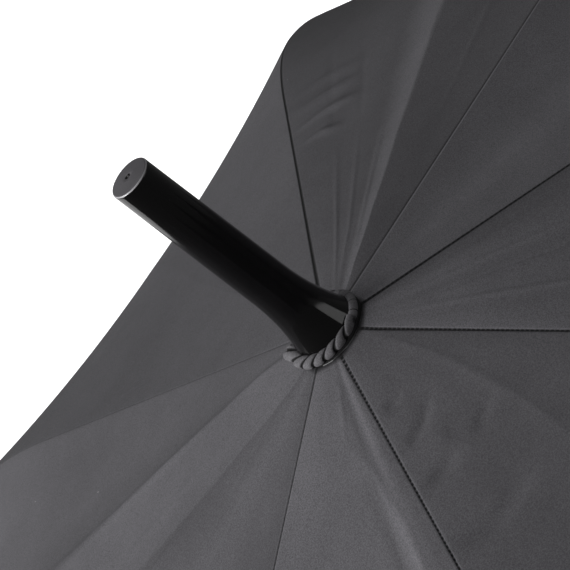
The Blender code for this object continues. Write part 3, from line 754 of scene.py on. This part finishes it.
def band(name, finish, start, end, wide, over, wave):
    """A ribbon that lies on the cloth beside the strap's rib, its edges turned and stitched."""
    rows, columns = 60, 16
    along = np.linspace(start, end, rows + 1)[:, None] * np.ones((1, columns + 1))
    share = np.linspace(-0.5, 0.5, columns + 1)[None, :] * np.ones((rows + 1, 1))
    radius = PIVOT_R + rib_trace(along)[0]
    across = (STRAP_BESIDE + share * wide) / (radius * math.sin(STEP) / 2)
    lift = over + wave * np.sin(along * 190 + share) - 0.3 * MM * np.abs(2 * share) ** 8
    points = cloth_points(STRAP_RIB, across, along, lift)[0]
    uvs = {"Seam": ((0.5 - np.abs(share)) * wide - 1.8 * MM, along), "Weave": (share * wide, along)}
    return sheet_mesh(name, points, uvs, {}, finish)


def grip(finish):
    """The foam grip: soft finger rings cut into the sleeve."""
    heights = (16.7, 30, 60, 95, 130, 160, 176)
    radii = (16.8, 17.1, 16.1, 15.3, 15.7, 16.3, 15.6)
    ring_pitch = 13
    steps = 320
    profile = [(10.2, 12.5), (14.4, 12.5), (15.8, 13.6)]
    for i in range(0, steps + 1):
        z = heights[0] + (heights[-1] - heights[0]) * i / steps
        groove = max(0.0, math.cos(TAU * (z - 95) / ring_pitch)) ** 6
        ringed = float(smooth(z, 28, 36) - smooth(z, 156, 164))
        radius = float(np.interp(z, heights, radii)) - 0.7 * groove * ringed
        profile.append((radius, z))
    profile += [(14.8, 179.2), (13.9, 179.8), (10.2, 179.8)]
    return revolve("grip_sleeve", [(r * MM, z * MM) for r, z in profile], 96, finish)


# ---------------------------------------------------------------- build

camera()

CLOTH = cloth_material("canopy_cloth", (0.058, 0.0565, 0.061))
FRILL = cloth_material("frill_cloth", (0.078, 0.076, 0.081), canopy=False)
GLOSS = gloss_black()

FINISH = {
    "black_plastic": satin("black_plastic", (0.018, 0.018, 0.019), 0.38),
    "fibreglass": satin("fibreglass", (0.022, 0.022, 0.024), 0.32, grain=1400),
    "steel": satin("steel", (0.56, 0.56, 0.57), 0.28, 1.0, grain=1100, spread=0.1),
    "painted_steel": satin("painted_steel", (0.02, 0.02, 0.021), 0.3, 0.0, grain=900),
    "grip_foam": satin("grip_foam", (0.022, 0.022, 0.022), 0.85, grain=1600, bump=0.0004),
    "cloth": CLOTH,
    "rosette_cloth": FRILL,
    "ferrule_plastic": GLOSS,
}

# CAD nodes that stay: each takes the finish of its own material slot.
for name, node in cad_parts.items():
    for held in node.material_slots:
        key = held.material.name.split(".")[0] if held.material else ""
        match = [k for k in FINISH if k == key or k in name]
        if match:
            held.material = FINISH[match[0]]


for rib in range(1, RIBS + 1):
    sheet = cloth_sheet(rib, CLOTH)
    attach(sheet, f"rib_{rib}")
    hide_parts(f"canopy_sector_{rib}")
    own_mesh(sheet)

FACE = satin("ferrule_face", (0.046, 0.044, 0.048), 0.45, grain=1300)
# Painted highlight: the ferrule's rounded rim is pale grey on the black gloss, for the light it
# catches.
RIM_PAINTED_HIGHLIGHT = satin("ferrule_rim_painted_highlight", (0.21, 0.205, 0.215), 0.35, grain=1300)
tip = ferrule(GLOSS, FACE, RIM_PAINTED_HIGHLIGHT)
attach(tip, "frame")
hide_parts("ferrule")

frill = rosette(FRILL)
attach(frill, "frame")
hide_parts("rosette")

patch = crown(FRILL)
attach(patch, "frame")
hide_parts("canopy_crown")

# These three cast no shadow on the cloth, because the photo's soft light shows none there.
for unshadowed in (tip, frill, patch):
    unshadowed.visible_shadow = False

FUZZ = satin("hook_and_loop", (0.016, 0.016, 0.017), 0.95, grain=2600, spread=0.5, bump=0.0006)
HOOKS = (STRAP_END - 30 * MM, STRAP_END - 2 * MM)
LOOPS = (STRAP_START + 2 * MM, STRAP_START + 30 * MM)
for name, held, start, end, wide, over, wave in (
    ("strap_ribbon", "tie_strap", STRAP_START, STRAP_END, STRAP_WIDTH, 0.9 * MM, 0.25 * MM),
    ("strap_hooks", "tie_hook_tab", *HOOKS, 18 * MM, 1.8 * MM, 0.2 * MM),
    ("strap_loops", "tie_loop_tab", *LOOPS, 18 * MM, 1.8 * MM, 0.2 * MM),
):
    ribbon = band(name, FRILL if name == "strap_ribbon" else FUZZ, start, end, wide, over, wave)
    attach(ribbon, f"rib_{STRAP_RIB}")
    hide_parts(held)
    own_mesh(ribbon)

sleeve = grip(FINISH["grip_foam"])
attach(sleeve, "frame")
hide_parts("grip")

# Stage: pale floor and soft studio light.
floor_nodes = Nodes("floor")
floor_tone = floor_nodes.ramp(floor_nodes.noise(floor_nodes.place(), 3, 2), 0.3, 0.7, 0.93, 0.95)
FLOOR = floor_nodes.finish(
    Base_Color=floor_nodes.grey(floor_tone),
    Roughness=0.9,
    Emission_Color=rgb(1, 1, 1),
    Emission_Strength=0.80,
)


def stage_face(name, corners, finish, mirrored=True):
    """One flat face of the set. With mirrored off, glossy surfaces don't show it."""
    mesh = bpy.data.meshes.new(name)
    mesh.from_pydata(corners, [], [tuple(range(len(corners)))])
    mesh.materials.append(finish)
    made = link(bpy.data.objects.new(name, mesh))
    made.visible_glossy = mirrored
    return made


# The floor isn't mirrored: past the hem it would show as bright bands on the black ferrule.
stage_face("floor", [(-14, -14, 0), (14, -14, 0), (14, 14, 0), (-14, 14, 0)], FLOOR, mirrored=False)

# A small card at the side, whose reflection is the pale wedge on the ferrule's foot.
card_nodes = Nodes("card")
CARD = card_nodes.finish(
    Base_Color=rgb(0.8, 0.8, 0.8),
    Emission_Color=rgb(1, 1, 1),
    Emission_Strength=0.34,
)
CARD_CORNERS = [(1.15, 1.75, 0.5), (-0.10, 2.1, 0.5), (-0.10, 2.1, 1.1), (1.15, 1.75, 1.1)]
card = stage_face("card", CARD_CORNERS, CARD)
# A dim sheet over one quarter of the floor, whose reflection is the grey strip along the ferrule.
mat = stage_face("mat", [(-14, -14, 0.001), (0, -14, 0.001), (0, 0, 0.001), (-14, 0, 0.001)], CARD)
for shown in (card, mat):
    shown.visible_camera = shown.visible_diffuse = shown.visible_shadow = False

# A pale wall behind, seen by the camera only, so that it adds no light.
wall_nodes = Nodes("wall")
wall_tone = wall_nodes.ramp(wall_nodes.noise(wall_nodes.place(), 0.3, 2), 0.3, 0.7, 0.98, 1.02)
WALL = wall_nodes.finish(
    Base_Color=wall_nodes.grey(wall_tone),
    Roughness=0.9,
    Emission_Color=rgb(1, 1, 1),
    Emission_Strength=1.05,
)
wall = revolve("wall", [(13.9, -0.1), (13.9, 9.0), (9.0, 13.0), (0, 13.5)], 64, WALL)
for rays in ("diffuse", "glossy", "transmission", "volume_scatter", "shadow"):
    setattr(wall, "visible_" + rays, False)

world = bpy.data.worlds.new("world")
bpy.context.scene.world = world
world.use_nodes = True
world.node_tree.nodes["Background"].inputs["Color"].default_value = (1, 1, 1, 1)
world.node_tree.nodes["Background"].inputs["Strength"].default_value = 0.12

area_light("key", (0.79, -2.6, 2.25), (0, 0, 0.95), 2.2, 206)
area_light("top", (-0.3, -0.2, 3.4), (0, 0, 0.9), 2.0, 21)

bpy.context.scene.view_settings.view_transform = "Standard"
